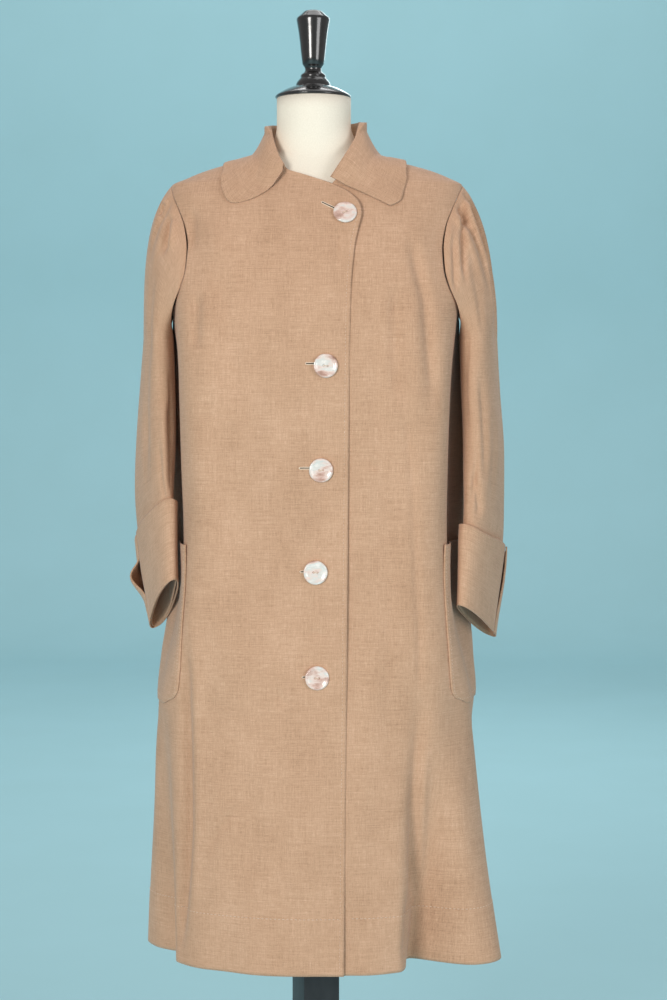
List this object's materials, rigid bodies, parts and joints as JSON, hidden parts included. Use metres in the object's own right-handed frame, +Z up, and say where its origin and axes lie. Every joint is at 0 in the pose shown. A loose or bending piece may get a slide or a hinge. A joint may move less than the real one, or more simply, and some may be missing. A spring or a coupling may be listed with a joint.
{
  "type": "linen coat on a dress form",
  "caption": "Knee-length linen coat with a rounded collar, turned-back cuffs and patch pockets, buttoned on a limbless dress form with a neck cap and a square post.",
  "frame": {"origin": "on the floor at the centre of the stand's base, on the post's axis", "axes": "+Z up along the post, -Y the way the coat faces, +X to the wearer's left"},
  "size_m": [0.5153, 0.4102, 1.593],
  "materials": {
    "linen": "matt, slubby plain weave",
    "shell": "polished, iridescent",
    "jersey": "matt",
    "gloss_black": "gloss",
    "black_paint": "satin"
  },
  "bodies": {
    "root": {"right_front": "linen", "left_front": "linen", "back": "linen", "collar": "linen", "right_sleeve": "linen", "left_sleeve": "linen", "right_cuff": "linen", "left_cuff": "linen", "right_pocket": "linen", "left_pocket": "linen", "button_1": "shell", "button_2": "shell", "button_3": "shell", "button_4": "shell", "button_5": "shell", "form_torso": "jersey", "neck_cap": "gloss_black", "post": "black_paint", "stand_base": "black_paint"}
  },
  "joints": []
}
